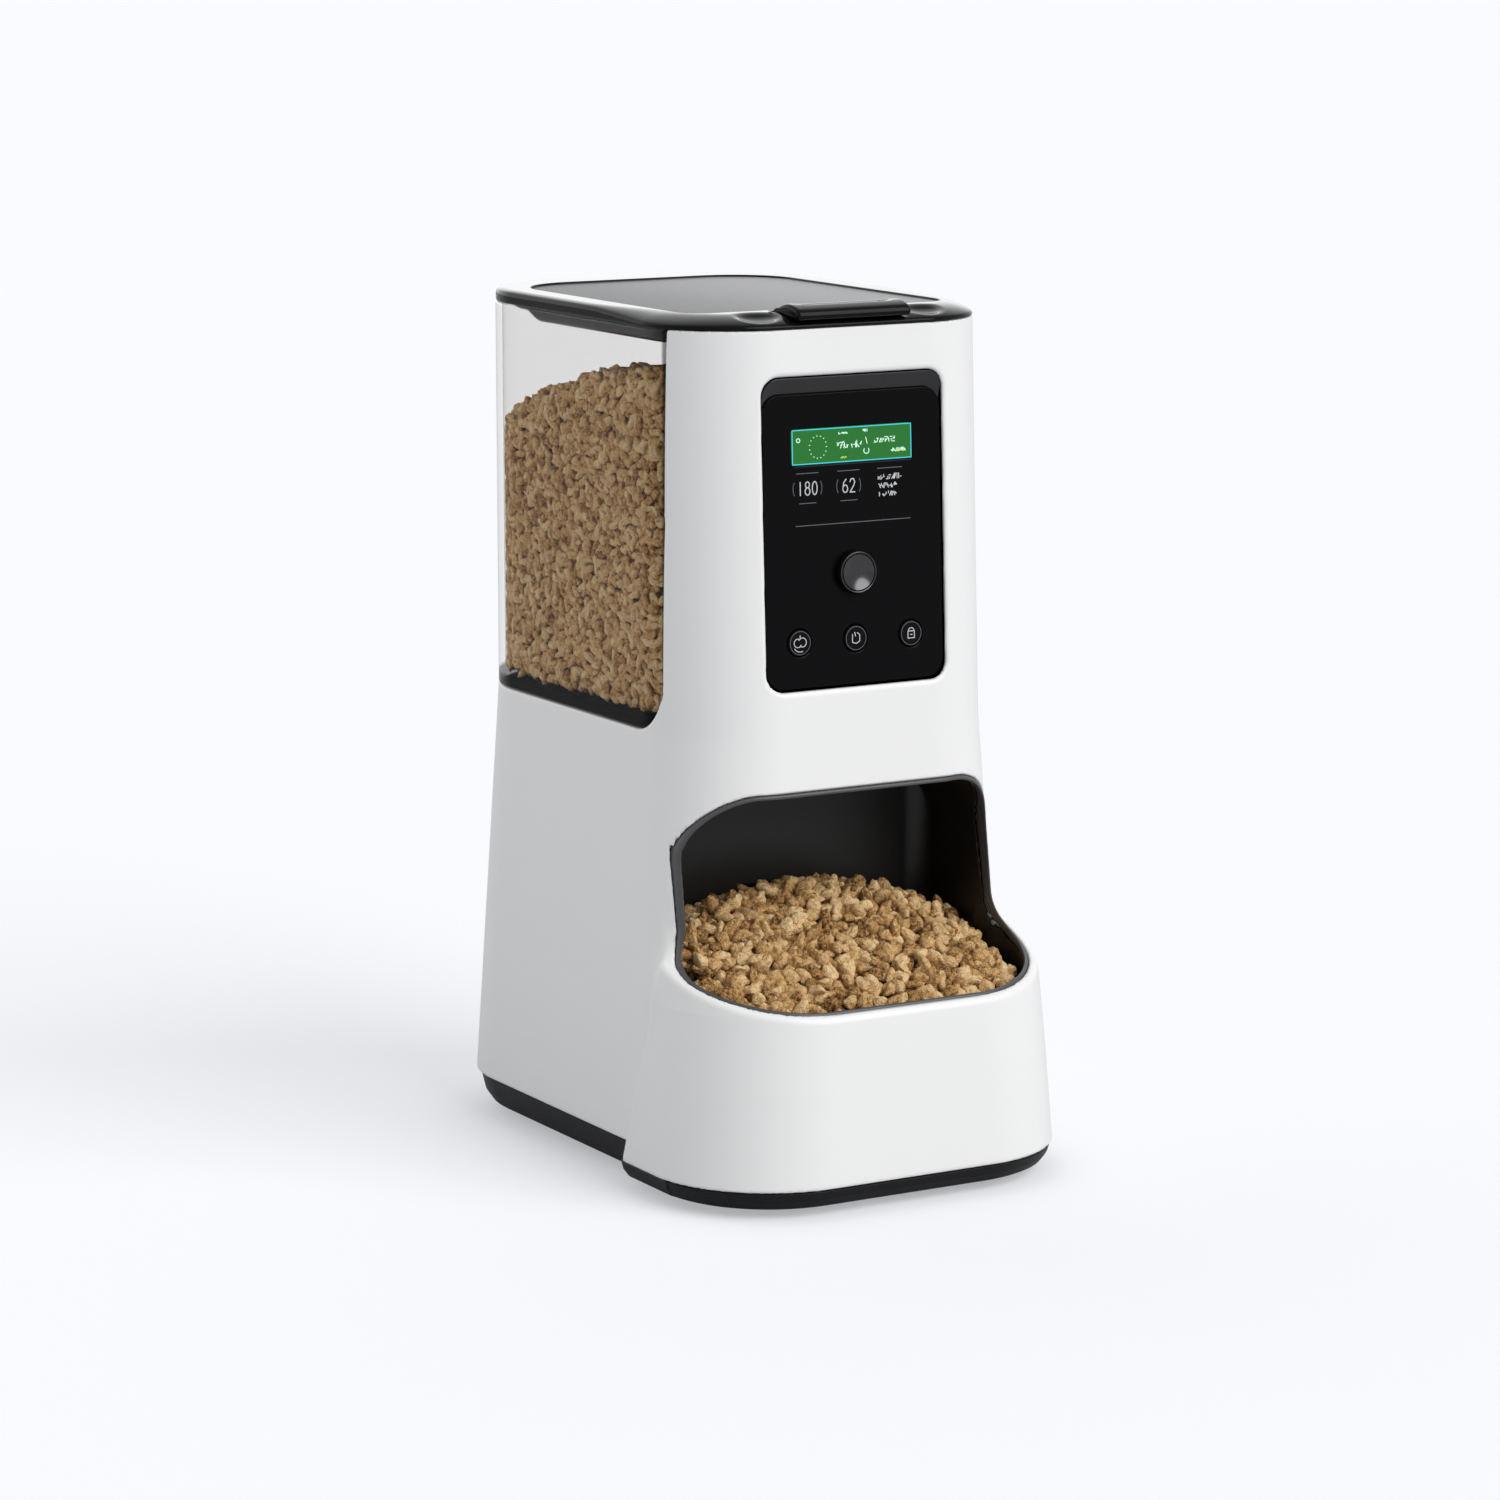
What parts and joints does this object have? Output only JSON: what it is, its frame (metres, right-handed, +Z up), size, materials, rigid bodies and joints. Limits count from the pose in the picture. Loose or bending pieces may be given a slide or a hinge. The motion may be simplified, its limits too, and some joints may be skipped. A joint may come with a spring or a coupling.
{
  "type": "automatic pet feeder",
  "caption": "Tabletop dry-food feeder: clear lift-off hopper with hinged lid, white front with display, knob and buttons, rotor drive, and an open alcove with a lift-out bowl.",
  "frame": {"origin": "on the table plane, under the middle of the outline's bounding box", "axes": "+Z up, the front with the alcove and control panel faces -Y, +X to the feeder's left as it faces forward"},
  "size_m": [0.178, 0.255, 0.3536],
  "materials": {
    "base_dark": "satin",
    "white_shell": "satin",
    "liner_dark": "satin",
    "panel_black": "glossy",
    "lcd_green": "glossy",
    "module_grey": "matte",
    "board_green": "satin",
    "switch_black": "matte",
    "steel": "brushed",
    "inner_grey": "matte",
    "cell_jacket": "satin",
    "rubber": "matte",
    "smoke_clear": "clear, faintly smoked",
    "dry_food": "rough",
    "lid_black": "glossy",
    "lid_smoke": "glossy",
    "bowl_black": "satin",
    "dry_food_bowl": "rough",
    "knob_black": "glossy",
    "button_black": "glossy",
    "rotor_orange": "matte",
    "gear_nylon": "satin",
    "brass": "machined"
  },
  "bodies": {
    "housing": {"base_pan": "base_dark", "housing_shell": "white_shell", "alcove_liner": "liner_dark", "control_panel": "panel_black", "lcd_lens": "lcd_green", "lcd_module": "module_grey", "control_pcb": "board_green", "tact_switches": "switch_black", "encoder_body": "steel", "electronics_cover": "base_dark", "rotor_housing": "inner_grey", "dispensing_chute": "inner_grey", "motor_bracket": "steel", "gear_motor": "steel", "main_pcb": "board_green", "battery_holder": "base_dark", "battery_cells": "cell_jacket", "battery_contacts": "steel", "usb_c_inlet": "steel", "rubber_feet": "rubber", "base_screws": "steel"},
    "hopper": {"hopper_tank": "smoke_clear", "outlet_collar": "inner_grey", "hopper_food": "dry_food", "hinge_pin": "steel"},
    "lid": {"lid_frame": "lid_black", "lid_window": "lid_smoke", "lid_gasket": "rubber", "latch_pin": "steel"},
    "latch": {"lid_latch": "lid_black"},
    "bowl": {"feeding_bowl": "bowl_black", "bowl_food": "dry_food_bowl"},
    "knob": {"control_knob": "knob_black"},
    "left_button": {"button_left": "button_black"},
    "middle_button": {"button_middle": "button_black"},
    "right_button": {"button_right": "button_black"},
    "rotor": {"rotor_impeller": "rotor_orange", "drive_gear": "gear_nylon"},
    "pinion": {"motor_pinion": "brass"},
    "door": {"battery_door": "base_dark"}
  },
  "joints": [
    {"name": "hopper_lift", "type": "slide", "parent": "housing", "child": "hopper", "axis": [0, 0, 1], "range_m": [0, 0.19]},
    {"name": "lid_hinge", "type": "hinge", "parent": "hopper", "child": "lid", "pos_m": [0, 0.124, 0.346], "axis": [-1, 0, 0], "range_deg": [0, 100]},
    {"name": "latch_pivot", "type": "hinge", "parent": "lid", "child": "latch", "pos_m": [0, -0.0625, 0.3486], "axis": [-1, 0, 0], "range_deg": [0, 25], "stiffness_Nm_per_rad": 0.05, "springref_deg": -17.19},
    {"name": "bowl_lift", "type": "slide", "parent": "housing", "child": "bowl", "axis": [0, 0, 1], "range_m": [0, 0.04]},
    {"name": "knob_turn", "type": "hinge", "parent": "housing", "child": "knob", "pos_m": [0, -0.08201, 0.2475], "axis": [0, 0.9991, -0.0413], "continuous": true},
    {"name": "button_left_press", "type": "slide", "parent": "housing", "child": "left_button", "axis": [0, 0.9991, -0.0413], "range_m": [0, 0.0008], "stiffness_N_per_m": 250, "springref_m": -0.0008},
    {"name": "button_middle_press", "type": "slide", "parent": "housing", "child": "middle_button", "axis": [0, 0.9991, -0.0413], "range_m": [0, 0.0008], "stiffness_N_per_m": 250, "springref_m": -0.0008},
    {"name": "button_right_press", "type": "slide", "parent": "housing", "child": "right_button", "axis": [0, 0.9991, -0.0413], "range_m": [0, 0.0008], "stiffness_N_per_m": 250, "springref_m": -0.0008},
    {"name": "rotor_spin", "type": "hinge", "parent": "housing", "child": "rotor", "pos_m": [0, 0.032, 0.14], "axis": [0, 0, 1], "continuous": true},
    {"name": "pinion_spin", "type": "hinge", "parent": "housing", "child": "pinion", "pos_m": [0.03, 0.032, 0.12], "axis": [0, 0, 1], "continuous": true},
    {"name": "battery_door_slide", "type": "slide", "parent": "housing", "child": "door", "axis": [0, 1, 0], "range_m": [0, 0.012]}
  ],
  "couplings": [
    {"joint": "pinion_spin", "follows": "rotor_spin", "ratio": -4}
  ]
}
